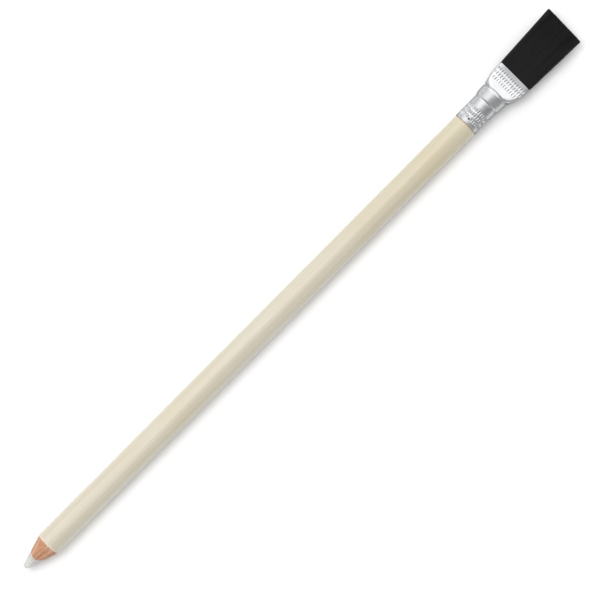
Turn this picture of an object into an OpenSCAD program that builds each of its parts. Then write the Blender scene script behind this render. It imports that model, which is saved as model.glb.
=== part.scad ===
// Eraser pencil with a flat dusting brush on its far end, in millimetres.
// It lies along X on the ground, with the eraser tip at -X, the brush at +X and the brush's flats level.
// Each piece is drawn upright, from the eraser tip at z = 0 to the brush, and lie_down() lays it in place.

/* [Shaft] */
// Diameter over the lacquer
shaft_d = 7.3; // [7:0.1:8]
// Length that shows, from the eraser tip to the ferrule
shaft_l = 172.1; // [120:0.1:176]
// Angle between the sharpened cone and the axis, in degrees
cone_angle = 17.4; // [14:0.1:22]
// Angle of the glue line between the casing slats, from the brush's flats, in degrees
seam_angle = 70; // [0:1:90]

/* [Core] */
// Diameter of the eraser core
core_d = 4.2; // [3.6:0.1:4.6]
// Width of the blunt eraser tip
tip_d = 1.6; // [1.4:0.1:2.4]
// Height of the dome on the blunt tip
tip_dome = 0.55; // [0.3:0.05:0.8]

/* [Coats] */
// Thickness of the cream lacquer
lacquer_t = 0.12; // [0.08:0.01:0.16]
// Thickness of the pale undercoat
undercoat_t = 0.06; // [0.04:0.01:0.08]

/* [Ferrule] */
// Length of the ferrule
ferrule_l = 19; // [18.5:0.1:22]
// Wall of the aluminium tube
wall_t = 0.25; // [0.2:0.01:0.3]
// Diameter of the round belly between the grooves
belly_d = 8.4; // [8:0.1:8.6]
// Width across the flattened mouth
mouth_w = 11.2; // [10.4:0.1:12]
// Thickness of the flattened mouth
mouth_h = 3.2; // [3:0.1:4]
// Middle of the groove that stops the pencil, from the ferrule's edge
groove_1_z = 8; // [7.5:0.1:8.5]
// Middle of the groove where the flattening starts, from the ferrule's edge
groove_2_z = 11.7; // [11:0.1:12]
// Width of each groove
groove_w = 0.6; // [0.5:0.1:0.8]
// Depth of each groove
groove_depth = 0.2; // [0.1:0.05:0.3]

/* [Crimps] */
// Crimps in each row round the pencil
sleeve_crimps = 30; // [24:1:32]
// Distance between the crimps in each row across the flats of the mouth
mouth_crimp_pitch = 0.8; // [0.7:0.05:1.2]
// Length of a crimp round the pencil, along it
sleeve_crimp_l = 1.1; // [0.8:0.1:1.2]
// Length of a crimp across the mouth, along the pencil
mouth_crimp_l = 0.9; // [0.6:0.1:1]
// Depth of a crimp
crimp_depth = 0.12; // [0.05:0.01:0.15]
// Diameter of the punched prick that pins the ferrule to the wood
prick_d = 0.5; // [0.3:0.1:0.7]
// Angle from the top of the ferrule to the prick, towards +Y, in degrees
prick_angle = 7; // [0:1:12]

/* [Brush] */
// Length of bristle that shows
bristle_l = 19.8; // [14:0.1:24]
// Width of the brush at its cut end
brush_w = 12.4; // [11.4:0.1:13]
// Thickness of the brush at its cut end
brush_h = 3.8; // [3.4:0.1:4.2]
// Bristles across the width
bristle_columns = 42; // [36:2:46]
// Bristles through the thickness
bristle_rows = 10; // [9:1:10]

/* [Hidden] */
$fn = 96;

// Radii of the layers, from the core outwards
core_r = core_d / 2;
shaft_r = shaft_d / 2;
undercoat_r = shaft_r - lacquer_t;
wood_r = undercoat_r - undercoat_t;
sleeve_r = wood_r + wall_t;
belly_r = belly_d / 2;
belly_swell = 0.2;

// Lengths along the pencil, from the eraser tip
total_l = shaft_l + ferrule_l + bristle_l;
casing_end = shaft_l + groove_1_z - groove_w / 2;

// The blunt tip is part of an ellipse that runs into the cone without a corner
dome_steps = 8;
dome_turn = atan(tip_d / 2 / (tip_dome * tan(cone_angle)));
dome_points = [
    for (i = [0 : dome_steps])
        let (turn = dome_turn * i / dome_steps)
            [tip_d / 2 * sin(turn), tip_dome * (1 - cos(turn))]
];
dome_edge = dome_points[dome_steps];
function cone_z(r) = dome_edge[1] + (r - dome_edge[0]) / tan(cone_angle);

// The ferrule's round part, from its edge to the bottom of the second groove
groove_steps = 8;
joint_overlap = 0.2;
neck_r = belly_r - groove_depth;
round_l = groove_2_z + joint_overlap / 2;
function groove(middle, r_before, r_after, steps) = [
    for (i = [0 : steps])
        let (t = i / groove_steps)
            [
                r_before + (r_after - r_before) * smooth(t) - groove_depth * sin(180 * t),
                middle + groove_w * (t - 0.5)
            ]
];
round_outline = concat(
    [[sleeve_r, 0]],
    groove(groove_1_z, sleeve_r, belly_r - belly_swell, groove_steps),
    groove(groove_2_z - joint_overlap / 2, belly_r, belly_r, groove_steps / 2),
    [[neck_r, round_l]]
);

// The flattened part: its half width, half thickness and squareness at a distance from the ferrule's edge.
// The flats start with a small step down at the second groove, where the sides widen back to the belly.
rise_l = groove_w / 2;
flare_l = 6.2;
press_l = 6;
corner_l = 1.8;
squareness = 7;
first_step = 0.2;
joint_step = 0.03;
flat_start = neck_r - joint_step;
function share(z, length) = min(1, max(0, (z - round_l) / length));
function ease(z, length) = sin(90 * share(z, length));
function smooth(t) = t * t * (3 - 2 * t);
function side(z) = belly_r + (mouth_w / 2 - belly_r) * ease(z, flare_l);
function pressed(z) = first_step * smooth(share(z, rise_l)) + (1 - first_step) * ease(z, press_l);
function half_w(z) = flat_start + (side(z) - flat_start) * smooth(share(z, rise_l));
function half_h(z) = flat_start - (flat_start - mouth_h / 2) * pressed(z);
function power(z) = 2 + (squareness - 2) * ease(z, corner_l);
function signed_power(x, n) = sign(x) * pow(abs(x), n);
oval_sides = 44;
function oval(w, h, n, z) = [
    for (i = [0 : oval_sides - 1])
        let (turn = 360 * i / oval_sides)
            [h * signed_power(cos(turn), 2 / n), w * signed_power(sin(turn), 2 / n), z]
];

// Slope of the flats, and what an inset square to a sloping wall takes off its half width or thickness
slope_step = 0.05;
function rise(z) = (half_h(z + slope_step) - half_h(z - slope_step)) / (2 * slope_step);
function spread(z) = (half_w(z + slope_step) - half_w(z - slope_step)) / (2 * slope_step);
function slant(slope) = sqrt(1 + slope * slope);
function tube_oval(z, inset) =
    oval(half_w(z) - inset * slant(spread(z)), half_h(z) - inset * slant(rise(z)), power(z), z);
rise_steps = 4;
flare_steps = 11;
flare_stations = concat(
    [round_l - joint_overlap],
    [for (i = [0 : rise_steps]) round_l + rise_l * i / rise_steps],
    [for (i = [1 : flare_steps]) round_l + rise_l + (flare_l - rise_l) * i / flare_steps],
    [ferrule_l]
);
// The inside face stays clear of the round part's inside face where the two overlap
inner_inset = wall_t - 2 * joint_step;

// Rows of crimps, by their middle from the ferrule's edge
sleeve_rows = [1.7, 3.15, 4.65];
mouth_rows = [14.65, 16.05, 17.5];
crimp_r = 0.3;
crimp_sides = 12;
crimp_margin = 0.6;
prick_z = 1.45;
prick_turn = 180 - prick_angle;

// The bristles start on the front face of the resin slice that holds their roots
slice_start = 14.2;
slice_end = 15.8;
root_w = mouth_w - 1.2;
root_h = mouth_h - 2 * wall_t - 0.3;
bristle_fill = 0.8;
root_depth = 0.3;

module lie_down() {
    translate([-total_l / 2, 0, belly_r])
        rotate([0, 90, 0])
            children();
}

module at_ferrule() {
    translate([0, 0, shaft_l])
        children();
}

// A turned ring, from the sharpened cone to an end, between two radii
module sleeve(r_in, r_out, end, angle = 360) {
    rotate_extrude(angle = angle)
        polygon([
            [r_in, cone_z(r_in)],
            [r_out, cone_z(r_out)],
            [r_out, end],
            [r_in, end]
        ]);
}

module eraser_core() {
    color([0.86, 0.87, 0.85])
        lie_down()
            rotate_extrude()
                polygon(concat(
                    dome_points,
                    [[core_r, cone_z(core_r)], [core_r, casing_end], [0, casing_end]]
                ));
}

module casing_slat(turn) {
    color([0.80, 0.59, 0.45])
        lie_down()
            rotate([0, 0, turn])
                sleeve(core_r, wood_r, casing_end, 180);
}

module casing_slat_a() {
    casing_slat(seam_angle - 90);
}

module casing_slat_b() {
    casing_slat(seam_angle + 90);
}

module undercoat() {
    color([0.93, 0.86, 0.77])
        lie_down()
            sleeve(wood_r, undercoat_r, shaft_l);
}

module lacquer_coat() {
    color([0.84, 0.81, 0.73])
        lie_down()
            sleeve(undercoat_r, shaft_r, shaft_l);
}

// Sides of a solid that runs through a list of sections, with both ends closed
module skin(sections) {
    sides = len(sections[0]);
    last = len(sections) - 1;
    points = [for (section = sections) each section];
    walls = [
        for (k = [0 : last - 1], i = [0 : sides - 1])
            let (a = k * sides + i, b = k * sides + (i + 1) % sides)
                each [[a, b + sides, b], [a, a + sides, b + sides]]
    ];
    first_end = [for (i = [1 : sides - 2]) [0, i, i + 1]];
    last_end = [for (i = [1 : sides - 2]) [last * sides, last * sides + i + 1, last * sides + i]];
    polyhedron(points, concat(walls, first_end, last_end));
}

// The round part of the ferrule, over the pencil and up to the flattening
module ferrule_round() {
    inner = [for (p = round_outline) [p[0] - wall_t, p[1]]];
    backwards = [for (i = [len(inner) - 1 : -1 : 0]) inner[i]];
    rotate_extrude()
        polygon(concat(round_outline, backwards));
}

// The flattened part of the ferrule, from the second groove to the mouth
module ferrule_flat() {
    past = 1;
    difference() {
        skin([for (z = flare_stations) tube_oval(z, 0)]);
        skin([
            for (z = concat([round_l - past], flare_stations, [ferrule_l + past]))
                tube_oval(z, inner_inset)
        ]);
    }
}

// A short cut with a rounded bottom of flat strips, which lies along the pencil
module crimp(length) {
    translate([crimp_r - crimp_depth, 0, 0])
        rotate([0, 0, 180 / crimp_sides])
            cylinder(r = crimp_r, h = length, center = true, $fn = crimp_sides);
}

module sleeve_row(z, first) {
    pitch = 360 / sleeve_crimps;
    for (i = [first : sleeve_crimps - 1])
        rotate([0, 0, prick_turn + i * pitch])
            translate([sleeve_r, 0, z])
                crimp(sleeve_crimp_l);
}

module mouth_row(z) {
    reach = floor((half_w(z) - crimp_margin) / mouth_crimp_pitch);
    for (side = [0, 180], i = [-reach : reach]) {
        y = i * mouth_crimp_pitch;
        height = half_h(z) * pow(1 - pow(abs(y) / half_w(z), power(z)), 1 / power(z));
        rotate([0, 0, side])
            translate([height, y, z])
                rotate([0, atan(rise(z)), 0])
                    crimp(mouth_crimp_l);
    }
}

// The first row of crimps leaves a place free for the prick, near the top
module ferrule() {
    color([0.80, 0.81, 0.82])
        lie_down()
            at_ferrule()
                difference() {
                    union() {
                        ferrule_round();
                        ferrule_flat();
                    }
                    for (row = [0 : len(sleeve_rows) - 1])
                        sleeve_row(sleeve_rows[row], row == 0 ? 1 : 0);
                    for (z = mouth_rows)
                        mouth_row(z);
                    rotate([0, 0, prick_turn])
                        translate([sleeve_r, 0, prick_z])
                            rotate([0, 90, 0])
                                cylinder(d = prick_d, h = 4 * wall_t, center = true, $fn = 24);
                }
}

// Resin that fills the flattened part between two distances from the ferrule's edge
module flat_resin(from, to) {
    between = [for (z = flare_stations) if (z > from + joint_step && z < to - joint_step) z];
    skin([for (z = concat([from], between, [to])) tube_oval(z, wall_t + joint_step)]);
}

// The resin was poured in from the round end, so it fills the belly and the second groove too
module resin_plug() {
    start = groove_1_z + groove_w / 2;
    outline = [
        for (p = round_outline)
            if (p[1] > start - joint_step)
                [p[0] - wall_t - joint_step, p[1]]
    ];
    color([0.72, 0.60, 0.38])
        lie_down()
            at_ferrule() {
                rotate_extrude()
                    polygon(concat([[0, outline[0][1]]], outline, [[0, round_l]]));
                flat_resin(round_l - joint_overlap, slice_start);
            }
}

// Bristles fan out evenly from their roots, so that none crosses another
module bristles() {
    pitch_w = root_w / bristle_columns;
    pitch_h = root_h / bristle_rows;
    linear_extrude(
        height = ferrule_l + bristle_l - slice_end + root_depth,
        scale = [brush_h / root_h, brush_w / root_w],
        slices = 1,
        $fn = 4
    )
        for (column = [0 : bristle_columns - 1], row = [0 : bristle_rows - 1]) {
            x = pitch_h * (row - (bristle_rows - 1) / 2);
            y = pitch_w * (column - (bristle_columns - 1) / 2);
            if (pow(2 * abs(x) / root_h, squareness) + pow(2 * abs(y) / root_w, squareness) < 1)
                translate([x, y])
                    square(bristle_fill * [pitch_h, pitch_w], center = true);
        }
}

module bristle_tuft() {
    color([0.09, 0.09, 0.09])
        lie_down()
            at_ferrule() {
                flat_resin(slice_start, slice_end);
                translate([0, 0, slice_end - root_depth])
                    bristles();
            }
}

eraser_core();
casing_slat_a();
casing_slat_b();
undercoat();
lacquer_coat();
ferrule();
resin_plug();
bristle_tuft();
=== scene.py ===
"""Looks of an eraser pencil with a flat dusting brush on its far end.

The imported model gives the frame: the pencil lies along X with its eraser tip at -X and its brush at +X.
Lengths along the pencil are named u from the eraser tip and z from the ferrule's edge, in millimetres.
Angles round it are measured from the top towards +Y.
"""

import math
import random

import bmesh
import bpy
from bpy.props import FloatProperty, FloatVectorProperty, IntProperty, PointerProperty
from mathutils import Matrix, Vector, noise


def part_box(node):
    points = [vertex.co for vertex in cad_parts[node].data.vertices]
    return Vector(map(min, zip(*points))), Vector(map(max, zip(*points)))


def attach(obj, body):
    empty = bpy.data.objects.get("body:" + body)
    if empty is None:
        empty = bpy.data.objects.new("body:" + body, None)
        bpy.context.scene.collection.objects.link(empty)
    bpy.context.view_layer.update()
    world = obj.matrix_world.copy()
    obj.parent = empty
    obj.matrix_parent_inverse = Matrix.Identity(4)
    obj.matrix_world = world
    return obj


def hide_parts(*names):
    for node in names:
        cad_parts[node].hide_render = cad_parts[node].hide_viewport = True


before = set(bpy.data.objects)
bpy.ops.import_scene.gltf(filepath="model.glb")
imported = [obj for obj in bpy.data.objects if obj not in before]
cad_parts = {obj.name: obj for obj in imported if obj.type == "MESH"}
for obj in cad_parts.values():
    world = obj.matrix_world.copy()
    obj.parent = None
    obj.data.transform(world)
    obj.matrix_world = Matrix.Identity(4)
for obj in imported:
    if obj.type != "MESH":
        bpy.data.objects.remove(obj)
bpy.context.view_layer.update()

bl_info = {
    "name": "Eraser pencil with a dusting brush",
    "version": (1, 0, 0),
    "blender": (4, 5, 0),
    "location": "View3D > Sidebar > Eraser pencil",
    "description": "Builds an eraser pencil with a crimped ferrule and a flat brush, and its studio",
    "category": "Add Mesh",
}

MM = 0.001
# Thickness of the undercoat, and radius of the eraser core and of its bore, in millimetres
UNDERCOAT_T = 0.06
CORE_R = 2.1

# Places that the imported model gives, in metres
TIP_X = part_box("eraser_core")[0].x
EDGE_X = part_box("ferrule")[0].x
END_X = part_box("bristle_tuft")[1].x
BARREL_LOW, BARREL_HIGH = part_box("lacquer_coat")
AXIS_Z = (BARREL_LOW.z + BARREL_HIGH.z) / 2

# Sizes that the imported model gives, in millimetres
SHAFT_R = (BARREL_HIGH.z - BARREL_LOW.z) / 2 / MM
WOOD_R = (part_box("undercoat")[1].z - AXIS_Z) / MM - UNDERCOAT_T
FERRULE_L = (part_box("ferrule")[1].x - EDGE_X) / MM
SHAFT_L = (EDGE_X - TIP_X) / MM
TOTAL_L = (END_X - TIP_X) / MM
CASING_END = (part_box("casing_slat_a")[1].x - TIP_X) / MM


def a_length(name, description, millimetres):
    return FloatProperty(name=name, description=description, default=millimetres * MM, unit="LENGTH")


def an_angle(name, description, degrees):
    default = math.radians(degrees)
    return FloatProperty(name=name, description=description, default=default, subtype="ANGLE")


def a_number(name, description, default):
    return FloatProperty(name=name, description=description, default=default)


def a_count(name, description, default):
    return IntProperty(name=name, description=description, default=default)


def a_colour(name, description, default):
    return FloatVectorProperty(
        name=name, description=description, default=default, subtype="COLOR", size=3, min=0, max=1
    )


class PencilSizes(bpy.types.PropertyGroup):
    """Sizes of the sharpened pencil"""

    tip_width: a_length("Tip width", "Width of the blunt eraser tip", 1.8)
    cone_angle: an_angle("Cone angle", "Angle between the sharpened cone and the axis", 16.75)
    seam_angle: an_angle("Seam angle", "Angle of the glue line between the two slats, from the top", 20)
    cut_wave: a_length("Cut wave", "How far the lacquer's cut edge wanders along the pencil", 0.16)


class FerruleSizes(bpy.types.PropertyGroup):
    """Sizes of the pressed aluminium ferrule"""

    wall: a_length("Wall", "Wall of the aluminium tube", 0.25)
    belly: a_length("Belly", "Diameter between the grooves", 8.4)
    mouth_width: a_length("Mouth width", "Width across the mouth", 11.2)
    mouth_height: a_length("Mouth height", "Thickness of the mouth", 3.2)
    mouth_shift: a_length("Mouth shift", "How far the pressing pushed the mouth towards -Y", 0.3)
    crimp_depth: a_length("Crimp depth", "Depth of a crimp", 0.22)
    sleeve_crimps: a_count("Sleeve crimps", "Crimps in each row round the pencil", 30)


class BrushSizes(bpy.types.PropertyGroup):
    """Sizes of the flat brush"""

    strands_across: a_count("Strands across", "Bristles across the width", 84)
    strands_deep: a_count("Strands deep", "Bristles through the thickness", 18)
    strand: a_length("Strand", "Thickness of a bristle", 0.13)
    width: a_length("Width", "Width at the cut end", 12.7)
    height: a_length("Height", "Thickness at the cut end", 3.7)
    slant: a_length("Slant", "How much shorter the -Y corner of the cut end is", 0.35)
    seed: a_count("Seed", "Which random lay the bristles take", 7)


class PencilColours(bpy.types.PropertyGroup):
    """Colours of the pencil's finishes, linear"""

    lacquer: a_colour("Lacquer", "Cream lacquer", (0.615, 0.572, 0.466))
    lacquer_aged: a_colour("Aged lacquer", "Lacquer near the ferrule", (0.58, 0.525, 0.39))
    undercoat: a_colour("Undercoat", "Pale coat under the lacquer", (0.76, 0.64, 0.53))
    wood: a_colour("Wood", "Pencil wood between its streaks", (0.60, 0.335, 0.205))
    wood_dark: a_colour("Dark wood", "Darker streaks of the wood", (0.42, 0.21, 0.125))
    wood_pale: a_colour("Pale wood", "Paler bands of the wood", (0.72, 0.47, 0.31))
    eraser: a_colour("Eraser", "Worn tip of the eraser", (0.70, 0.71, 0.67))
    eraser_grey: a_colour("Grey eraser", "Eraser behind the worn tip", (0.61, 0.585, 0.57))
    metal: a_colour("Metal", "Bright drawn aluminium", (0.62, 0.628, 0.636))
    bristle: a_colour("Bristle", "Black bristle", (0.0046, 0.0051, 0.0049))


class StageSettings(bpy.types.PropertyGroup):
    """Floor and camera"""

    floor_size: a_length("Floor", "Side of the square floor", 12000)
    floor_shade: a_number("Floor shade", "Share of light that the floor throws back", 0.92)
    floor_glow: a_number("Floor glow", "White that the camera and reflections see on the floor", 0.03)
    camera_height: a_length("Camera height", "Camera above the axis", 745)
    camera_turn: an_angle("Camera turn", "Turn of the camera about the vertical", -45.16)
    lens: a_number("Lens", "Focal length in millimetres", 162.2)


class EraserPencil(bpy.types.PropertyGroup):
    """Everything that a user would change"""

    pencil: PointerProperty(type=PencilSizes)
    ferrule: PointerProperty(type=FerruleSizes)
    brush: PointerProperty(type=BrushSizes)
    colours: PointerProperty(type=PencilColours)
    stage: PointerProperty(type=StageSettings)


def added(name, data):
    """A new object in the scene"""
    made = bpy.data.objects.new(name, data)
    bpy.context.scene.collection.objects.link(made)
    return made


class Shade:
    """A shader socket that can be used in arithmetic"""

    def __init__(self, finish, socket):
        self.finish = finish
        self.socket = socket

    def maths(self, operation, first, second):
        return self.finish.add("ShaderNodeMath", {"operation": operation}, {0: first, 1: second})

    def __add__(self, other):
        return self.maths("ADD", self, other)

    def __sub__(self, other):
        return self.maths("SUBTRACT", self, other)

    def __rsub__(self, other):
        return self.maths("SUBTRACT", other, self)

    def __mul__(self, other):
        return self.maths("MULTIPLY", self, other)


class Finish:
    """A node tree, with what it takes to fill it"""

    def __init__(self, tree):
        self.tree = tree
        self.tree.nodes.clear()

    @classmethod
    def of_material(cls, name):
        material = bpy.data.materials.new(name)
        material.use_nodes = True
        finish = cls(material.node_tree)
        finish.material = material
        return finish

    def add(self, kind, settings, values, output=0):
        """Adds a node with settings and input values, and gives one of its outputs"""
        made = self.tree.nodes.new(kind)
        for name, setting in settings.items():
            setattr(made, name, setting)
        for key, value in values.items():
            if isinstance(value, Shade):
                self.tree.links.new(value.socket, made.inputs[key])
            else:
                made.inputs[key].default_value = value
        return Shade(self, made.outputs[output]) if len(made.outputs) else None

    def stretched(self, vector, scale, offset=(0, 0, 0)):
        """A vector stretched and then shifted"""
        values = {"Vector": vector, "Location": offset, "Scale": scale}
        return self.add("ShaderNodeMapping", {"vector_type": "POINT"}, values)

    def place(self, scale, offset=(0, 0, 0)):
        """Object coordinates in metres, stretched and then shifted"""
        seat = self.add("ShaderNodeTexCoord", {}, {}, "Object")
        return self.stretched(seat, scale, offset)

    def part(self, coordinates, axis):
        """One axis of the named texture coordinates"""
        seat = self.add("ShaderNodeTexCoord", {}, {}, coordinates)
        return self.add("ShaderNodeSeparateXYZ", {}, {"Vector": seat}, axis)

    def step(self, value, reach, levels=(0.0, 1.0)):
        """Smooth step between two levels where a value runs through its reach"""
        values = {"Value": value, "From Min": reach[0], "From Max": reach[1]}
        values.update({"To Min": levels[0], "To Max": levels[1]})
        return self.add("ShaderNodeMapRange", {"interpolation_type": "SMOOTHSTEP"}, values)

    def along(self, start, end):
        """0 to 1 between two places along X, in metres"""
        return self.step(self.part("Object", "X"), (start, end))

    def grain(self, vector, detail=2.0, rough=0.5, warp=0.0):
        """Noise from 0 to 1, with about one patch to a unit of the vector"""
        values = {"Vector": vector, "Scale": 1.0, "Detail": detail, "Roughness": rough, "Distortion": warp}
        return self.add("ShaderNodeTexNoise", {"normalize": True}, values)

    def ramp(self, value, *stops):
        """Greys between stops, each given as a place and a level"""
        made = self.add("ShaderNodeValToRGB", {}, {"Fac": value})
        elements = made.socket.node.color_ramp.elements
        while len(elements) < len(stops):
            elements.new(0.5)
        for element, (place, level) in zip(elements, stops):
            element.position = place
            element.color = (level, level, level, 1)
        return made

    def mix(self, share, first, second, way="MIX"):
        """Mixes two colours. A mix node's colour inputs are 6 and 7, and its colour output is 2"""
        settings = {"data_type": "RGBA", "blend_type": way, "clamp_factor": True}
        return self.add("ShaderNodeMix", settings, {0: share, 6: rgba(first), 7: rgba(second)}, 2)

    def tinted(self, skin, tint):
        return self.mix(1.0, skin, tint, "MULTIPLY")

    def bump(self, height, depth, strength=1.0):
        return self.add("ShaderNodeBump", {}, {"Height": height, "Distance": depth, "Strength": strength})

    def surface(self, skin, rough, relief=None, **more):
        """Ends the tree with a Principled surface and gives the material"""
        values = {"Base Color": skin, "Roughness": rough}
        if relief is not None:
            values["Normal"] = relief
        for name, value in more.items():
            values[name.replace("_", " ")] = value
        principled = self.add("ShaderNodeBsdfPrincipled", {}, values, "BSDF")
        self.add("ShaderNodeOutputMaterial", {}, {"Surface": principled})
        return self.material


def rgba(value):
    return value if isinstance(value, Shade) else (*value, 1)


def lacquer_finish(colours):
    """Cream lacquer with faint streaks along the pencil, a little yellower towards the ferrule"""
    finish = Finish.of_material("cream_lacquer")
    fine = finish.grain(finish.place((22, 1500, 1500)), 3.0, 0.55)
    broad = finish.grain(finish.place((9, 330, 330), (3, 1, 5)))
    cloud = finish.grain(finish.place((60, 60, 60)))
    pits = finish.grain(finish.place((900, 900, 900)))
    aged = finish.mix(finish.along(0.01, EDGE_X + 0.004), colours.lacquer, colours.lacquer_aged)
    dull = finish.tinted(aged, (0.90, 0.885, 0.86))
    streaks = finish.ramp(fine * 0.5 + broad * 0.5, (0.36, 0.0), (0.62, 1.0))
    paint = finish.mix(streaks, dull, aged)
    warm = finish.tinted(paint, (1.0, 0.975, 0.93))
    skin = finish.mix(finish.ramp(cloud, (0.4, 0.0), (0.7, 1.0)), paint, warm)
    relief = finish.bump(fine * 0.6 + broad * 1.4 + pits * 0.15, 0.00004, 0.5)
    rough = fine * 0.12 + cloud * 0.1 + 0.26
    return finish.surface(skin, rough, relief, Coat_Weight=0.7, Coat_Roughness=0.16)


def undercoat_finish(colours):
    """Chalky pale coat"""
    finish = Finish.of_material("pale_undercoat")
    chalk = finish.grain(finish.place((2500, 2500, 2500)), 3.0)
    patches = finish.ramp(chalk, (0.35, 0.0), (0.65, 1.0))
    skin = finish.mix(patches, Vector(colours.undercoat) * 0.86, colours.undercoat)
    return finish.surface(skin, chalk * 0.2 + 0.55, finish.bump(chalk, 0.00003))


def wood_finish(colours):
    """Bare pencil wood. The shave attribute runs along the cut, and differs between the slats"""
    finish = Finish.of_material("pencil_wood")
    shave = finish.add("ShaderNodeAttribute", {"attribute_name": "shave"}, {}, "Vector")
    fibre = finish.grain(finish.stretched(shave, (0.16, 4.2, 4.2)), 4.0, 0.6, 0.2)
    band = finish.grain(finish.stretched(shave, (0.10, 1.3, 1.3), (7, 3, 2)), 2.0, 0.5, 0.3)
    pore = finish.grain(finish.stretched(shave, (0.6, 9, 9), (1, 5, 2)))
    cloud = finish.grain(finish.stretched(shave, (0.7, 0.9, 0.9), (4, 2, 6)))
    streaks = finish.ramp(fibre * 0.6 + band * 0.45, (0.44, 0.0), (0.52, 0.55), (0.59, 1.0))
    plain = finish.mix(streaks, colours.wood_dark, colours.wood)
    pale = finish.mix(finish.ramp(band, (0.52, 0.0), (0.66, 1.0)), plain, colours.wood_pale)
    ruddy = finish.tinted(pale, (1.0, 0.84, 0.76))
    toned = finish.mix(finish.ramp(cloud, (0.46, 0.0), (0.60, 1.0)), pale, ruddy)
    pores = finish.ramp(pore, (0.30, 1.0), (0.38, 0.0))
    skin = finish.mix(pores * 0.6, toned, (0.30, 0.13, 0.07))
    relief = finish.bump(fibre + pore * 0.5 - pores * 0.5, 0.00007, 0.8)
    return finish.surface(skin, fibre * 0.2 + 0.55, relief)


def eraser_finish(colours):
    """White vinyl eraser, smeared and greyer behind its worn tip"""
    finish = Finish.of_material("vinyl_eraser")
    cloud = finish.grain(finish.place((700, 700, 700)), 3.0)
    crumb = finish.grain(finish.place((3800, 3800, 3800)), 3.0, 0.6)
    behind = finish.along(TIP_X + 2.2 * MM, TIP_X + 3.0 * MM)
    smear = finish.grain(finish.place((500, 2400, 2400)))
    tone = finish.mix(behind, colours.eraser, colours.eraser_grey)
    dusty = finish.tinted(tone, (0.86, 0.86, 0.87))
    patches = finish.ramp(cloud * 0.5 + smear * 0.5, (0.42, 0.0), (0.60, 1.0))
    rubbed = finish.mix(patches, dusty, tone)
    relief = finish.bump(crumb * 0.6 + smear * 0.6 + cloud, 0.00008, 0.7)
    return finish.surface(
        rubbed,
        crumb * 0.2 + 0.45,
        relief,
        Subsurface_Weight=0.15,
        Subsurface_Radius=(1.0, 0.9, 0.8),
        Subsurface_Scale=0.6 * MM,
    )


def metal_finish(colours):
    """Bright aluminium, drawn along its length and a little stained"""
    finish = Finish.of_material("drawn_aluminium")
    drawn = finish.grain(finish.place((90, 5200, 5200)), 3.0, 0.6)
    cloud = finish.grain(finish.place((420, 420, 420)), 3.0)
    peel = finish.grain(finish.place((1500, 1500, 1500)))
    stained = finish.tinted(colours.metal, (0.90, 0.90, 0.905))
    clean = finish.ramp(cloud * 0.7 + drawn * 0.3, (0.38, 0.0), (0.60, 1.0))
    skin = finish.mix(clean, stained, colours.metal)
    relief = finish.bump(drawn * 0.25 + cloud * 0.5 + peel * 0.35, 0.00005, 0.5)
    rough = cloud * 0.1 + drawn * 0.08 + 0.25
    return finish.surface(skin, rough, relief, Metallic=1.0, Specular_Tint=(0.15, 0.15, 0.15, 1))


def prick_painted_shade_material():
    """Near-black painted shade inside the punched prick, standing in for the shade in the hole"""
    finish = Finish.of_material("prick_painted_shade_inside")
    grit = finish.grain(finish.place((5000, 5000, 5000)))
    skin = finish.mix(grit, (0.004, 0.004, 0.004), (0.012, 0.011, 0.010))
    return finish.surface(skin, grit * 0.2 + 0.7)


def resin_finish():
    """Clear amber resin, which nothing shows from outside"""
    finish = Finish.of_material("amber_resin")
    cloud = finish.grain(finish.place((500, 500, 500)), 3.0)
    skin = finish.mix(cloud, (0.36, 0.22, 0.07), (0.50, 0.34, 0.13))
    return finish.surface(skin, cloud * 0.2 + 0.15, Coat_Weight=0.5)


def bristle_finish(colours):
    """Black bristle. The strand attribute gives each bristle its own shade"""
    finish = Finish.of_material("black_bristle")
    strand = finish.add("ShaderNodeAttribute", {"attribute_name": "strand"}, {}, "Fac")
    dust = finish.grain(finish.place((300, 3000, 3000)))
    deep = Vector(colours.bristle)
    skin = finish.mix(strand * 0.75 + dust * 0.25, deep * 0.6, deep * 1.7)
    relief = finish.bump(dust, 0.00001, 0.4)
    return finish.surface(skin, strand * 0.2 + 0.34, relief, Specular_IOR_Level=0.42)


def ring_place(point, origin):
    """Place along X and distance from the axis in millimetres, and angle from the top towards +Y"""
    side, up = point.y / MM, (point.z - AXIS_Z) / MM
    return (point.x - origin) / MM, math.hypot(side, up), math.atan2(side, up)


def set_on_ring(vert, x, radius, angle):
    """Puts a vertex at a radius in millimetres and an angle"""
    vert.co = (x, radius * MM * math.sin(angle), AXIS_Z + radius * MM * math.cos(angle))


def turned(origin, outline, steps, start=0.0, turn=math.tau):
    """Turns an outline of (place, radius) points in millimetres about the axis, and closes it.

    An outline that starts and ends on the axis is open, and any other is a ring. Part of a turn gets its
    two flat sides filled.
    """
    shape = bmesh.new()
    full = turn == math.tau
    for place, radius in outline:
        set_on_ring(shape.verts.new(), origin + place * MM, radius, start)
    verts = list(shape.verts)
    on_axis = outline[0][1] < 1e-6 and outline[-1][1] < 1e-6
    edges = [shape.edges.new(pair) for pair in zip(verts, verts[1:])]
    if not on_axis:
        edges.append(shape.edges.new((verts[-1], verts[0])))
    bmesh.ops.spin(
        shape,
        geom=verts + edges,
        cent=(0, 0, AXIS_Z),
        axis=(-1, 0, 0),
        dvec=(0, 0, 0),
        angle=turn,
        steps=steps,
        use_merge=full,
        use_normal_flip=False,
        use_duplicate=False,
    )
    bmesh.ops.remove_doubles(shape, verts=shape.verts, dist=0.001 * MM)
    if not full:
        rims = [edge for edge in shape.edges if edge.is_boundary]
        bmesh.ops.holes_fill(shape, edges=rims, sides=0)
    bmesh.ops.recalc_face_normals(shape, faces=shape.faces)
    return shape


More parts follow.
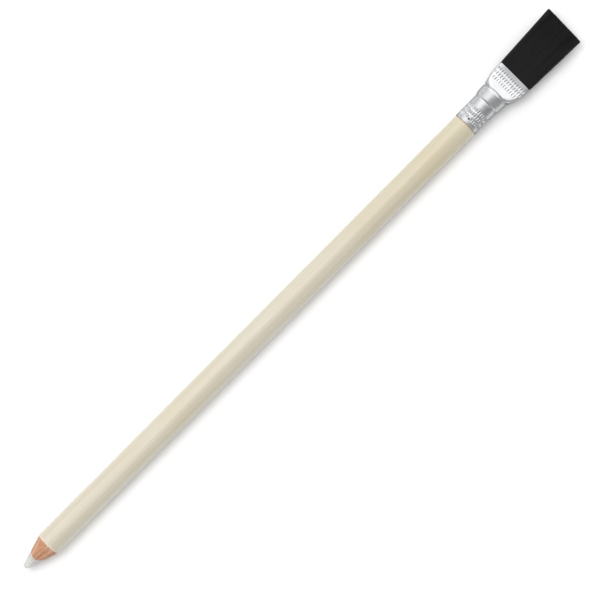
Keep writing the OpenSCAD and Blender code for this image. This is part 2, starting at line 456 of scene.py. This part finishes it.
def finished(shape, name, material, node, sharp=30):
    """Makes an object of a bmesh for the CAD node that it stands for"""
    mesh = bpy.data.meshes.new(name)
    shape.to_mesh(mesh)
    shape.free()
    mesh.materials.append(material)
    mesh.shade_smooth()
    mesh.set_sharp_from_angle(angle=math.radians(sharp))
    return seated(added(name, mesh), node)


def seated(piece, node):
    """Ties a piece to the frame"""
    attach(piece, "root")
    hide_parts(node)
    return piece


def spread(start, end, count):
    """Evenly spaced values, both ends among them"""
    return [start + (end - start) * i / (count - 1) for i in range(count)]


def blend(share):
    """Smooth step from 0 to 1"""
    share = min(1.0, max(0.0, share))
    return share * share * (3 - 2 * share)


def ripple(*seat):
    """Noise at a place, from about -1 to 1"""
    return noise.noise(Vector(seat))


def within(value, most):
    return max(-most, min(most, value))


class Cone:
    """The sharpened end: its straight cone, its blunt tip and how the cut wanders"""

    # Length of the dome
    DOME = 0.5
    # The worn slant of the tip: a place along the pencil and off its axis, and the slope there
    WORN_U = 0.4
    WORN_R = 0.6
    WORN_SLOPE = 1.1
    # How far the core sinks below the wood's front lip
    LIP_STEP = 0.05
    # Places where the bore turns from the uneven lip into a round hole
    BORE_STATIONS = (7, 8, 9, 10, 12)
    # Distance of the wood's front lip from the tip, at angles round the pencil in degrees
    LIP = ((-180, 6.5), (-100, 6.2), (-72, 5.3), (-42, 4.3), (0, 3.7), (44, 4.0), (90, 4.85), (180, 6.5))

    def __init__(self, sizes):
        self.slope = math.tan(sizes.cone_angle)
        self.tip_r = sizes.tip_width / 2 / MM
        self.wave = sizes.cut_wave / MM
        self.turn = math.atan(self.tip_r / (self.DOME * self.slope))

    def dome(self, count):
        """Points (u, radius) of the blunt tip, from its middle"""
        turns = spread(0, self.turn, count)
        return [(self.DOME * (1 - math.cos(t)), self.tip_r * math.sin(t)) for t in turns]

    def depth(self, radius):
        """Distance from the tip at which the straight cone has a radius"""
        edge_u, edge_r = self.dome(2)[-1]
        return edge_u + (radius - edge_r) / self.slope

    def radius(self, u):
        edge_u, edge_r = self.dome(2)[-1]
        return edge_r + (u - edge_u) * self.slope

    def wander(self, angle):
        """How far the cut surface lies behind the straight cone"""
        seat = Vector((math.cos(angle), math.sin(angle), 0))
        slow = noise.noise(seat * 1.7)
        quick = noise.noise(seat * 6 + Vector((4, 1, 2)))
        return self.wave * (slow * 0.7 + quick * 0.4)

    def worn(self, radius, angle):
        """Least distance from the tip on its -Y side, which is rubbed away at a slant"""
        return self.WORN_U + self.WORN_SLOPE * (-radius * math.sin(angle) - self.WORN_R)

    def lip(self, angle):
        """Radius of the wood's front lip, which reaches furthest forward at the top"""
        degrees = math.degrees((angle + math.pi) % math.tau - math.pi)
        for (start, before), (end, after) in zip(self.LIP, self.LIP[1:]):
            if start <= degrees <= end:
                u = before + (after - before) * blend((degrees - start) / (end - start))
        ragged = ripple(math.cos(angle) * 5, math.sin(angle) * 5, 3)
        return self.radius(u + 0.1 * ragged)

    def bore(self, angle, u):
        """Radius of the bore that holds the core: uneven at the lip and round further back"""
        start, end = self.BORE_STATIONS[0], self.BORE_STATIONS[-1]
        return CORE_R + (self.lip(angle) - CORE_R) * (1 - blend((u - start) / (end - start)))


class ERASERPENCIL_OT_core(bpy.types.Operator):
    """Builds the eraser core with its worn tip"""

    bl_idname = "eraser_pencil.core"
    bl_label = "Eraser core"

    TIP_UNEVEN = 0.05
    # Between the core and its bore, so that their faces don't coincide
    CLEARANCE = 0.004

    def execute(self, context):
        settings = context.scene.eraser_pencil
        cone = Cone(settings.pencil)
        face = [(cone.depth(radius), radius) for radius in spread(cone.tip_r, CORE_R, 16)[1:]]
        back = [(u, CORE_R) for u in (*cone.BORE_STATIONS, CASING_END)]
        outline = cone.dome(14) + face + back + [(CASING_END, 0)]
        shape = turned(TIP_X, outline, 128)
        for vert in shape.verts:
            u, radius, angle = ring_place(vert.co, TIP_X)
            on_cone = u < cone.BORE_STATIONS[0] - 0.1
            if on_cone and radius > cone.tip_r:
                share = (radius - cone.tip_r) / (CORE_R - cone.tip_r)
                radius = cone.tip_r + (cone.lip(angle) - cone.tip_r) * share
                u = cone.depth(radius) + cone.wander(angle) * share + cone.LIP_STEP * blend(share * 4 - 3)
                u = max(u, cone.worn(radius, angle))
            elif on_cone:
                uneven = ripple(radius * math.sin(angle) * 2, radius * math.cos(angle) * 2, 0)
                u = max(u, cone.worn(radius, angle)) + self.TIP_UNEVEN * uneven
                u = max(u, 0)
            elif radius > CORE_R - 0.01:
                radius = cone.bore(angle, u) - self.CLEARANCE
            set_on_ring(vert, TIP_X + u * MM, radius, angle)
        rubber = eraser_finish(settings.colours)
        finished(shape, "eraser_core_worn", rubber, "eraser_core", 50)
        return {"FINISHED"}


class ERASERPENCIL_OT_casing(bpy.types.Operator):
    """Builds the two wooden slats with the glue line between them"""

    bl_idname = "eraser_pencil.casing"
    bl_label = "Wooden casing"

    # Width and depth of the step at the glue line, and height of the wood's fibres
    SEAM_W = 0.12
    SEAM_DEPTH = 0.05
    FIBRE_RELIEF = 0.04
    # Radius that the grain is laid on at any depth, and how far apart in the wood the slats lay
    GRAIN_R = 2.7
    BOARD_ALONG = 5.3
    BOARD_ASIDE = 4

    def execute(self, context):
        settings = context.scene.eraser_pencil
        cone = Cone(settings.pencil)
        seam = settings.pencil.seam_angle
        wood = wood_finish(settings.colours)
        for board, name in enumerate(("casing_slat_a", "casing_slat_b")):
            shape = self.slat(cone, seam + board * math.pi)
            piece = finished(shape, name + "_sharpened", wood, name, 40)
            self.lay_grain(piece.data, board)
        return {"FINISHED"}

    def lay_grain(self, mesh, board):
        """Stores the place along the pencil and round it in millimetres, whatever the depth"""
        shave = mesh.attributes.new("shave", "FLOAT_VECTOR", "POINT")
        for vert, grain in zip(mesh.vertices, shave.data):
            u, _, angle = ring_place(vert.co, TIP_X)
            side, up = self.GRAIN_R * math.sin(angle), self.GRAIN_R * math.cos(angle)
            grain.vector = (u + self.BOARD_ALONG * board, up + self.BOARD_ASIDE * board, side)

    def slat(self, cone, start):
        """Half of the casing, from an angle half a turn on"""
        face = [(cone.depth(radius), radius) for radius in spread(CORE_R, WOOD_R, 26)]
        inside = [(u, CORE_R) for u in (CASING_END, 60, *reversed(cone.BORE_STATIONS))]
        outline = face + [(12, WOOD_R), (60, WOOD_R), (CASING_END, WOOD_R)] + inside
        shape = turned(TIP_X, outline, 120, start, math.pi)
        for vert in shape.verts:
            u, radius, angle = ring_place(vert.co, TIP_X)
            from_seam = abs(math.sin(angle - start)) * radius
            if abs(u - cone.depth(radius)) < 0.01:
                share = (radius - CORE_R) / (WOOD_R - CORE_R)
                lip = cone.lip(angle)
                radius = lip + (WOOD_R - lip) * share
                u = cone.depth(radius) + cone.wander(angle)
                u += self.SEAM_DEPTH * (1 - blend(from_seam / self.SEAM_W))
                u += self.FIBRE_RELIEF * ripple(u * 0.8, math.cos(angle) * 9, math.sin(angle) * 9)
            elif radius < CORE_R + 0.01:
                radius = cone.bore(angle, u)
            set_on_ring(vert, TIP_X + u * MM, radius, angle)
        return shape


class ERASERPENCIL_OT_coats(bpy.types.Operator):
    """Builds the undercoat and the lacquer, cut back by the sharpening"""

    bl_idname = "eraser_pencil.coats"
    bl_label = "Undercoat and lacquer"

    # Gaps between the coats' ends and the ferrule, where a thin dark line shows
    UNDERCOAT_GAP = 0.12
    LACQUER_GAP = 0.16
    # Height of the chips in the cut edge, and how far behind it the cut's waves fade out
    CHIP = 0.05
    FADE_L = 1.5

    def execute(self, context):
        settings = context.scene.eraser_pencil
        cone = Cone(settings.pencil)
        middle = WOOD_R + UNDERCOAT_T
        undercoat = self.coat(cone, WOOD_R + 0.002, middle, SHAFT_L - self.UNDERCOAT_GAP)
        lacquer = self.coat(cone, middle, SHAFT_R, SHAFT_L - self.LACQUER_GAP)
        pale = undercoat_finish(settings.colours)
        cream = lacquer_finish(settings.colours)
        finished(undercoat, "undercoat_lip", pale, "undercoat")
        barrel = finished(lacquer, "lacquered_barrel", cream, "lacquer_coat")
        barrel.data.materials.append(pale)
        # The lacquer's cut face is pale too
        for face in barrel.data.polygons:
            if face.normal.x < -0.2 and face.center.x < TIP_X + 12 * MM:
                face.material_index = 1
        return {"FINISHED"}

    def coat(self, cone, inner, outer, foot_u):
        """Tube between two radii, from the sharpener's cut to a foot at the ferrule"""
        start, end = cone.depth(inner), cone.depth(outer)
        cut = [(start + (end - start) * t, inner + (outer - inner) * t) for t in spread(0, 1, 4)]
        barrel = [(u, outer) for u in (end + 0.1, end + 0.4, 12, 30, 60, 90, 120, 150, foot_u - 0.03)]
        foot = [(foot_u, outer - 0.03), (foot_u, inner), (30, inner), (start + 1, inner)]
        outline = cut + barrel + foot
        shape = turned(TIP_X, outline, 192)
        for vert in shape.verts:
            u, radius, angle = ring_place(vert.co, TIP_X)
            cut_share = 1 - blend((u - end) / self.FADE_L)
            chips = self.CHIP * ripple(math.cos(angle) * 14, math.sin(angle) * 14, 8)
            u += (cone.wander(angle) + chips) * cut_share
            set_on_ring(vert, TIP_X + u * MM, radius, angle)
        return shape


class Tube:
    """The ferrule's form: round over the pencil, then flared and pressed flat for the brush.

    Places and sizes are in millimetres. A place ends in _Z and is measured from the ferrule's edge.
    """

    GROOVE_1_Z = 8.0
    GROOVE_2_Z = 11.7
    # The second groove's floor runs from here to the end of the round part
    FLOOR_Z = GROOVE_2_Z - 0.1
    ROUND_L = 11.8
    GROOVE_W = 0.6
    GROOVE_DEPTH = 0.2
    # How much smaller in radius than the belly the tube is just past the first groove
    SHOULDER = 0.2

    # Lengths over which the pressed part rises out of the groove, widens, flattens and gets its corners
    RISE_L = 0.3
    FLARE_L = 6.2
    PRESS_L = 6.0
    CORNER_L = 1.8
    # Power of the superellipse at the mouth
    SQUARENESS = 7.0
    # Further than this above or below the axis, the pressed part is a flat and has crimps
    FLAT_UP = 1.2

    # Rows of crimps. A mouth row reaches this many crimps to each side of its middle one
    SLEEVE_ROWS_Z = (1.7, 3.15, 4.65)
    SLEEVE_CRIMP_L = 1.1
    MOUTH_ROWS_Z = (14.65, 16.05, 17.5)
    MOUTH_REACH = (5, 6, 6)
    MOUTH_CRIMP_L = 0.95
    MOUTH_PITCH = 0.8
    CRIMP_HALF_W = 0.33

    # Row of fine notches near the mouth, and the lip that is turned out past them
    NOTCH_Z = 18.25
    NOTCH_L = 0.25
    NOTCH_PITCH = 0.4
    NOTCH_DEPTH = 0.02
    LIP_Z = 18.7
    LIP_T = 0.03

    # The punched prick
    PRICK_Z = 1.45
    PRICK_ANGLE = math.radians(7)
    PRICK_R = 0.28
    PRICK_DEPTH = 0.22

    # How far the form wanders from the true one
    UNEVEN = 0.035

    def __init__(self, sizes):
        self.wall = sizes.wall / MM
        self.belly_r = sizes.belly / 2 / MM
        self.neck_r = self.belly_r - self.GROOVE_DEPTH
        self.sleeve_r = WOOD_R + self.wall
        self.half_width = sizes.mouth_width / 2 / MM
        self.half_height = sizes.mouth_height / 2 / MM
        self.crimp_depth = sizes.crimp_depth / MM
        self.crimps = sizes.sleeve_crimps
        self.shift = sizes.mouth_shift / MM
        self.sections = {}

    def groove(self, middle, before, after, end=1.0):
        """Points (z, radius) of a groove between two radii, or of its first share"""
        points = []
        for t in spread(0, end, round(12 * end) + 1):
            radius = before + (after - before) * blend(t) - self.GROOVE_DEPTH * math.sin(math.pi * t)
            points.append((middle + self.GROOVE_W * (t - 0.5), radius))
        return points

    def crimp_stations(self, rows, length):
        """Places close together along the crimps"""
        half = length / 2
        return [row + offset for row in rows for offset in spread(-half - 0.05, half + 0.05, 12)]

    def outline(self):
        """Outer points (z, radius) from the edge to the mouth, before the pressing"""
        shoulder_r = self.belly_r - self.SHOULDER
        sleeve = [0.05, 0.3, 0.6]
        sleeve += spread(0.9, 2.4, 17)
        sleeve += self.crimp_stations(self.SLEEVE_ROWS_Z[1:], self.SLEEVE_CRIMP_L)
        sleeve += spread(5.6, 7.5, 5)
        first = self.groove(self.GROOVE_1_Z, self.sleeve_r, shoulder_r)
        start, end = first[-1][0], self.FLOOR_Z - self.GROOVE_W / 2
        belly = []
        for z in spread(start, end, 12)[1:-1]:
            rise = math.sin(math.pi / 2 * (z - start) / (end - start))
            belly.append((z, shoulder_r + (self.belly_r - shoulder_r) * rise))
        second = self.groove(self.FLOOR_Z, self.belly_r, self.belly_r, 0.5)
        pressed = spread(self.ROUND_L, self.ROUND_L + self.RISE_L, 9)
        pressed += spread(self.ROUND_L + self.RISE_L, 14.0, 13)[1:]
        pressed += self.crimp_stations(self.MOUTH_ROWS_Z, self.MOUTH_CRIMP_L)
        pressed += [18.05, 18.15, self.NOTCH_Z, 18.35, 18.5, self.LIP_Z, 18.85, FERRULE_L - 0.05]
        before = [(z, self.sleeve_r) for z in sleeve]
        after = [(z, self.neck_r) for z in pressed]
        return before + first + belly + second + after

    def share(self, z, length):
        """Share of a length past the round part"""
        return min(1.0, max(0.0, (z - self.ROUND_L) / length))

    def ease(self, z, length):
        """The same share, slowing down to its end"""
        return math.sin(math.pi / 2 * self.share(z, length))

    def section(self, z, inset):
        """Quarter of the pressed section from the top to the side: points and distances along it"""
        key = (round(z, 3), round(inset, 3))
        if key not in self.sections:
            neck = self.neck_r
            risen = blend(self.share(z, self.RISE_L))
            pressed = 0.2 * risen + 0.8 * self.ease(z, self.PRESS_L)
            side = self.belly_r + (self.half_width - self.belly_r) * self.ease(z, self.FLARE_L)
            width = neck + (side - neck) * risen - inset
            height = neck + (self.half_height - neck) * pressed - inset
            power = 2 + (self.SQUARENESS - 2) * self.ease(z, self.CORNER_L)
            points = [Vector((0, height))]
            lengths = [0.0]
            for turn in spread(0, math.pi / 2, 181)[1:]:
                terms = abs(math.cos(turn) / height) ** power + abs(math.sin(turn) / width) ** power
                reach = terms ** (-1 / power)
                points.append(Vector((reach * math.sin(turn), reach * math.cos(turn))))
                lengths.append(lengths[-1] + (points[-1] - points[-2]).length)
            self.sections[key] = (points, lengths)
        return self.sections[key]

    def on_section(self, z, inset, angle):
        """Point (side, up) and normal where the round tube's angle ends up after the pressing"""
        points, lengths = self.section(z, inset)
        quarter = abs(angle) if abs(angle) <= math.pi / 2 else math.pi - abs(angle)
        target = lengths[-1] * quarter / (math.pi / 2)
        low, high = 0, len(lengths) - 1
        while high - low > 1:
            middle = (low + high) // 2
            if lengths[middle] <= target:
                low = middle
            else:
                high = middle
        share = (target - lengths[low]) / (lengths[high] - lengths[low])
        point = points[low].lerp(points[high], share)
        along = (points[high] - points[low]).normalized()
        normal = Vector((-along.y, along.x))
        turn_side = -1 if angle < 0 else 1
        turn_up = -1 if abs(angle) > math.pi / 2 else 1
        return (
            Vector((point.x * turn_side, point.y * turn_up)),
            Vector((normal.x * turn_side, normal.y * turn_up)),
        )

    def put(self, vert, z, point):
        """Moves a vertex to a point (side, up) of the section, which the pressing shifted as a whole"""
        point.x -= self.shift * self.ease(z, self.FLARE_L)
        vert.co.y = point.x * MM
        vert.co.z = AXIS_Z + point.y * MM

    def dent(self, across, half_width):
        """1 in a dent's middle and 0 at its sides"""
        share = abs(across) / half_width
        return math.cos(share * math.pi / 2) ** 2 if share < 1 else 0.0

    def run(self, z, middle, length):
        """1 along a crimp and 0 past its ends"""
        return 1 - blend((abs(z - middle) - length / 2 + 0.22) / 0.27)

    def sleeve_dent(self, z, angle):
        """Depth of the crimps over the pencil. The prick takes the place of one"""
        pitch = math.tau / self.crimps
        depth = 0.0
        for place, row in enumerate(self.SLEEVE_ROWS_Z):
            along = self.run(z, row, self.SLEEVE_CRIMP_L)
            if along == 0:
                continue
            index = round((angle - self.PRICK_ANGLE) / pitch)
            if place == 0 and index == 0:
                continue
            across = (angle - self.PRICK_ANGLE - index * pitch) * self.sleeve_r
            strength = 0.85 + 0.3 * ripple(index * 1.7, row, 2)
            depth += self.crimp_depth * strength * along * self.dent(across, self.CRIMP_HALF_W)
        return depth

    def mouth_dent(self, z, side, up):
        """Depth of the crimps and notches in the flats"""
        depth = 0.0
        index = round(side / self.MOUTH_PITCH)
        for row, reach in zip(self.MOUTH_ROWS_Z, self.MOUTH_REACH):
            along = self.run(z, row, self.MOUTH_CRIMP_L)
            if along == 0 or abs(index) > reach:
                continue
            strength = 0.8 + 0.4 * ripple(index * 1.3, row, up)
            across = side - index * self.MOUTH_PITCH
            depth += self.crimp_depth * strength * along * self.dent(across, self.CRIMP_HALF_W)
        notches = side / self.NOTCH_PITCH
        across = (notches - round(notches)) * self.NOTCH_PITCH
        notch = self.run(z, self.NOTCH_Z, self.NOTCH_L) * self.dent(across, self.NOTCH_PITCH / 2)
        return depth + self.NOTCH_DEPTH * notch

    def from_prick(self, z, angle):
        return math.hypot(z - self.PRICK_Z, (angle - self.PRICK_ANGLE) * self.sleeve_r)

    def prick_dent(self, z, angle):
        """Depth of the punched prick: a steep hole in a shallow dish"""
        away = self.from_prick(z, angle)
        hole = self.PRICK_DEPTH * (1 - blend((away - self.PRICK_R + 0.06) / 0.06))
        dish = 0.02 * (1 - blend((away - self.PRICK_R + 0.01) / 0.3))
        return hole + dish


class ERASERPENCIL_OT_ferrule(bpy.types.Operator):
    """Builds the ferrule with its grooves, crimps and prick"""

    bl_idname = "eraser_pencil.ferrule"
    bl_label = "Ferrule"

    def execute(self, context):
        settings = context.scene.eraser_pencil
        tube = Tube(settings.ferrule)
        outer = tube.outline()
        inner = [(z, radius - tube.wall) for z, radius in outer[::-1] if self.kept_inside(z)]
        edge = [(0, tube.sleeve_r - tube.wall + 0.04), (0, tube.sleeve_r - 0.05)]
        mouth = [(FERRULE_L, tube.neck_r - 0.06), (FERRULE_L, tube.neck_r - tube.wall + 0.06)]
        outline = edge + outer + mouth + inner
        shape = turned(EDGE_X, outline, 360)
        for vert in shape.verts:
            self.press(tube, vert)
        metal = metal_finish(settings.colours)
        piece = finished(shape, "ferrule_crimped", metal, "ferrule", 60)
        self.paint_prick_shade(tube, piece)
        return {"FINISHED"}

    def kept_inside(self, z):
        """The inside face keeps its points at the grooves and ends, and few elsewhere"""
        near_groove = abs(z - Tube.GROOVE_1_Z) < 0.4 or abs(z - Tube.GROOVE_2_Z) < 0.5
        return near_groove or int(z * 100) % 5 == 0 or z > 18.9 or z < 0.1

    def press(self, tube, vert):
        """Moves a vertex of the round tube to its place in the crimped and pressed one"""
        z, radius, angle = ring_place(vert.co, EDGE_X)
        outer_r = tube.sleeve_r if z < tube.GROOVE_1_Z else tube.neck_r
        outside = radius > outer_r - tube.wall * 0.6
        uneven = tube.UNEVEN * ripple(z * 0.35, math.cos(angle) * 1.3, math.sin(angle) * 1.3)
        if z <= tube.ROUND_L:
            if outside and z > 0.1:
                radius -= tube.sleeve_dent(z, angle) + tube.prick_dent(z, angle)
            set_on_ring(vert, vert.co.x, radius + uneven * blend(z / 2) * 0.5, angle)
            return
        point, normal = tube.on_section(z, tube.neck_r - radius, angle)
        depth = 0.0
        if outside and z < FERRULE_L - 0.2 and abs(point.y) > tube.FLAT_UP:
            depth = tube.mouth_dent(z, point.x, point.y)
        if z > tube.LIP_Z:
            depth -= tube.LIP_T * blend((z - tube.LIP_Z) / 0.2)
        point -= normal * (depth - uneven * 0.5)
        tube.put(vert, z, point)

    # The faces inside the prick get the near-black material: painted shade in the hole
    def paint_prick_shade(self, tube, piece):
        piece.data.materials.append(prick_painted_shade_material())
        for face in piece.data.polygons:
            z, radius, angle = ring_place(face.center, EDGE_X)
            if tube.from_prick(z, angle) < tube.PRICK_R and radius > tube.sleeve_r - tube.wall:
                face.material_index = 1


class ERASERPENCIL_OT_tuft(bpy.types.Operator):
    """Builds the black bristles and the resin that holds their roots"""

    bl_idname = "eraser_pencil.tuft"
    bl_label = "Brush"

    # Places are in millimetres from the ferrule's edge, and sizes in millimetres
    RESIN_START_Z = 14.2
    RESIN_END_Z = 15.8
    ROOT_Z = 15.5
    # Half width and half height of the tuft in the ferrule, and what it gains in half width there
    ROOT_HALF_W = 5.0
    WIDENING = 0.6
    ROOT_HALF_H = 1.2
    # Power and limit of the superellipse that the strands fill
    SQUARENESS = 7
    FILL = 0.94
    # Share of its cell by which a strand lies off its middle, and unevenness of its end and its cut
    LAY = 0.3
    FRAY = 0.03
    CUT = 0.10
    # The strands' middles stay this close to the axis
    MOST_ASIDE = 6.4
    MOST_UP = 1.88
    POINTS = 6

    def execute(self, context):
        settings = context.scene.eraser_pencil
        tube = Tube(settings.ferrule)
        self.resin(tube)
        strands = self.strands(settings.brush, tube)
        mesh = self.hair(strands, settings.brush.strand / 2)
        mesh.materials.append(bristle_finish(settings.colours))
        mesh.shade_smooth()
        seated(added("bristles_black", mesh), "bristle_tuft")
        return {"FINISHED"}

    def resin(self, tube):
        """Resin slice round the roots, shaped by the ferrule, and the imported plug's finish"""
        start, end = self.RESIN_START_Z, self.RESIN_END_Z
        outline = [(start, 0)] + [(z, tube.neck_r) for z in spread(start, end, 7)] + [(end, 0)]
        shape = turned(EDGE_X, outline, 96)
        for vert in shape.verts:
            z, radius, angle = ring_place(vert.co, EDGE_X)
            if radius > 0.01:
                tube.put(vert, z, tube.on_section(z, tube.wall + 0.03, angle)[0])
        amber = resin_finish()
        finished(shape, "root_resin", amber, "bristle_tuft")
        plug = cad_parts["resin_plug"]
        plug.data.materials.clear()
        plug.data.materials.append(amber)

    def strands(self, sizes, tube):
        """Each bristle's points (z, aside, up) in millimetres, its own shade and its clump's"""
        lay = random.Random(sizes.seed)
        across, deep = sizes.strands_across, sizes.strands_deep
        length = TOTAL_L - SHAFT_L
        made = []
        for column in range(across):
            for row in range(deep):
                side = 2 * (column + 0.5 + lay.uniform(-self.LAY, self.LAY)) / across - 1
                up = 2 * (row + 0.5 + lay.uniform(-self.LAY, self.LAY)) / deep - 1
                if abs(side) ** self.SQUARENESS + abs(up) ** self.SQUARENESS > self.FILL:
                    continue
                clump = ripple(side * 9, up * 2.5, 0)
                lean = ripple(side * 5, up * 2, 9)
                cut = length - lay.uniform(0, self.CUT) - sizes.slant / MM * (0.5 - side / 2)
                points = []
                for t in spread(0, 1, self.POINTS):
                    z = self.ROOT_Z + (cut - self.ROOT_Z) * t
                    out = max(0.0, (z - FERRULE_L) / (length - FERRULE_L))
                    half_w = self.ROOT_HALF_W + self.WIDENING * min(1.0, t * 5)
                    half_w += (sizes.width / 2 / MM - self.ROOT_HALF_W - self.WIDENING) * out
                    half_h = self.ROOT_HALF_H + (sizes.height / 2 / MM - self.ROOT_HALF_H) * out
                    drift = -tube.shift * (1 - 0.75 * out)
                    aside = side * half_w + drift + (clump * 0.16 + lean * 0.12) * out * out
                    above = up * half_h + lean * 0.08 * out * out
                    aside += lay.uniform(-self.FRAY, self.FRAY) * out
                    above += lay.uniform(-self.FRAY, self.FRAY) * out
                    points.append((z, within(aside, self.MOST_ASIDE), within(above, self.MOST_UP)))
                made.append((points, 0.5 + 0.5 * lay.uniform(-1, 1), clump))
        return made

    def hair(self, strands, radius):
        """One mesh of all bristles, from a curve with a four-sided bevel"""
        curve = bpy.data.curves.new("bristle_paths", "CURVE")
        curve.dimensions = "3D"
        curve.bevel_depth = radius
        curve.bevel_resolution = 0
        curve.use_fill_caps = True
        for points, shade, clump in strands:
            path = curve.splines.new("POLY")
            path.points.add(len(points) - 1)
            for place, (z, aside, above) in enumerate(points):
                path.points[place].co = (EDGE_X + z * MM, aside * MM, AXIS_Z + above * MM, 1)
                path.points[place].radius = 1.0 - 0.3 * blend(place / (len(points) - 1) * 2 - 1)
        holder = added("bristle_paths", curve)
        made = holder.evaluated_get(bpy.context.evaluated_depsgraph_get())
        mesh = bpy.data.meshes.new_from_object(made)
        mesh.name = "bristles_black"
        bpy.data.objects.remove(holder)
        bpy.data.curves.remove(curve)
        each = len(mesh.vertices) // len(strands)
        shades = []
        for points, shade, clump in strands:
            shades += [min(1.0, max(0.0, shade * 0.6 + 0.2 + clump * 0.5))] * each
        strand = mesh.attributes.new("strand", "FLOAT", "POINT")
        strand.data.foreach_set("value", shades)
        return mesh


class ERASERPENCIL_OT_stage(bpy.types.Operator):
    """Builds the pale floor, the soft studio light and the camera"""

    bl_idname = "eraser_pencil.stage"
    bl_label = "Studio"

    # The camera is this far off the middle of the pencil in X and Y
    CAMERA_X = 0.24 * MM
    CAMERA_Y = -1.74 * MM

    def execute(self, context):
        settings = context.scene.eraser_pencil.stage
        self.floor(settings)
        self.world(context)
        self.lamps()
        self.camera(context, settings)
        context.scene.view_settings.view_transform = "Standard"
        return {"FINISHED"}

    def floor(self, settings):
        shape = bmesh.new()
        bmesh.ops.create_grid(shape, x_segments=1, y_segments=1, size=settings.floor_size / 2)
        mesh = bpy.data.meshes.new("floor")
        shape.to_mesh(mesh)
        shape.free()
        mesh.materials.append(self.floor_finish(settings))
        added("floor", mesh)

    def floor_finish(self, settings):
        """White paper that throws light back, and glows a little to the camera and in reflections"""
        finish = Finish.of_material("white_paper")
        level = settings.floor_shade
        paper = finish.add("ShaderNodeBsdfDiffuse", {}, {"Color": (level, level, level, 1)})
        camera = finish.add("ShaderNodeLightPath", {}, {}, "Is Camera Ray")
        glossy = finish.add("ShaderNodeLightPath", {}, {}, "Is Glossy Ray")
        through = finish.add("ShaderNodeLightPath", {}, {}, "Is Transmission Ray")
        seen = (camera + glossy + through) * settings.floor_glow
        glow = finish.add("ShaderNodeEmission", {}, {"Color": (1, 1, 1, 1), "Strength": seen})
        both = finish.add("ShaderNodeAddShader", {}, {0: paper, 1: glow})
        finish.add("ShaderNodeOutputMaterial", {}, {"Surface": both})
        return finish.material

    def world(self, context):
        """Pale studio walls: bright high over +Y and past the brush, dim over -Y and low down"""
        world = bpy.data.worlds.new("studio")
        context.scene.world = world
        world.use_nodes = True
        finish = Finish(world.node_tree)
        x = finish.part("Generated", "X")
        y = finish.part("Generated", "Y")
        beside = finish.step(y, (-0.58, 0.42), (0.38, 0.85)) - finish.step(y, (0.5, 0.95), (0.0, 0.4))
        brush_wall = finish.step(y, (-0.75, -0.15), (0.25, 1.0)) * 1.62
        tip_wall = 0.58
        past_brush = finish.step(x, (0.15, 0.5))
        past_tip = finish.step(x, (-0.05, -0.5))
        bright = beside + past_brush * (brush_wall - beside) + past_tip * (tip_wall - beside)
        sky = finish.add("ShaderNodeBackground", {}, {"Color": (1, 1, 1, 1), "Strength": bright})
        finish.add("ShaderNodeOutputWorld", {}, {"Surface": sky})

    def lamps(self):
        """A softbox overhead, a little towards +Y, and a card over +Y that only reflections show"""
        softbox = self.lamp("softbox", (-0.12, 0.42, 1.34), (0.6, 0.6), 8.3)
        softbox.visible_glossy = False
        card = self.lamp("card", (0, 0.86, 0.93), (3.0, 1.65), 10.2)
        card.visible_diffuse = False

    def lamp(self, name, seat, size, power):
        """Rectangular lamp that faces the origin"""
        light = bpy.data.lights.new(name, "AREA")
        light.shape = "RECTANGLE"
        light.size, light.size_y = size
        light.energy = power
        lamp = added(name, light)
        lamp.location = seat
        lamp.rotation_euler = (-lamp.location).to_track_quat("-Z", "Y").to_euler()
        lamp.visible_camera = False
        return lamp

    def camera(self, context, settings):
        view = bpy.data.cameras.new("camera")
        view.lens = settings.lens
        view.sensor_width = 36
        camera = added("camera", view)
        camera.location = (self.CAMERA_X, self.CAMERA_Y, AXIS_Z + settings.camera_height)
        camera.rotation_euler = (0, 0, settings.camera_turn)
        context.scene.camera = camera


OPERATORS = (
    ERASERPENCIL_OT_core,
    ERASERPENCIL_OT_casing,
    ERASERPENCIL_OT_coats,
    ERASERPENCIL_OT_ferrule,
    ERASERPENCIL_OT_tuft,
    ERASERPENCIL_OT_stage,
)


class ERASERPENCIL_PT_panel(bpy.types.Panel):
    """Lists the pieces of the eraser pencil"""

    bl_idname = "ERASERPENCIL_PT_panel"
    bl_label = "Eraser pencil"
    bl_space_type = "VIEW_3D"
    bl_region_type = "UI"
    bl_category = "Eraser pencil"

    def draw(self, context):
        for operator in OPERATORS:
            self.layout.operator(operator.bl_idname)


GROUPS = (PencilSizes, FerruleSizes, BrushSizes, PencilColours, StageSettings, EraserPencil)


def register():
    for made in (*GROUPS, *OPERATORS, ERASERPENCIL_PT_panel):
        bpy.utils.register_class(made)
    bpy.types.Scene.eraser_pencil = PointerProperty(type=EraserPencil)


def unregister():
    del bpy.types.Scene.eraser_pencil
    for made in (ERASERPENCIL_PT_panel, *reversed(OPERATORS), *reversed(GROUPS)):
        bpy.utils.unregister_class(made)


def main():
    register()
    bpy.ops.eraser_pencil.core()
    bpy.ops.eraser_pencil.casing()
    bpy.ops.eraser_pencil.coats()
    bpy.ops.eraser_pencil.ferrule()
    bpy.ops.eraser_pencil.tuft()
    bpy.ops.eraser_pencil.stage()


if __name__ == "__main__":
    main()
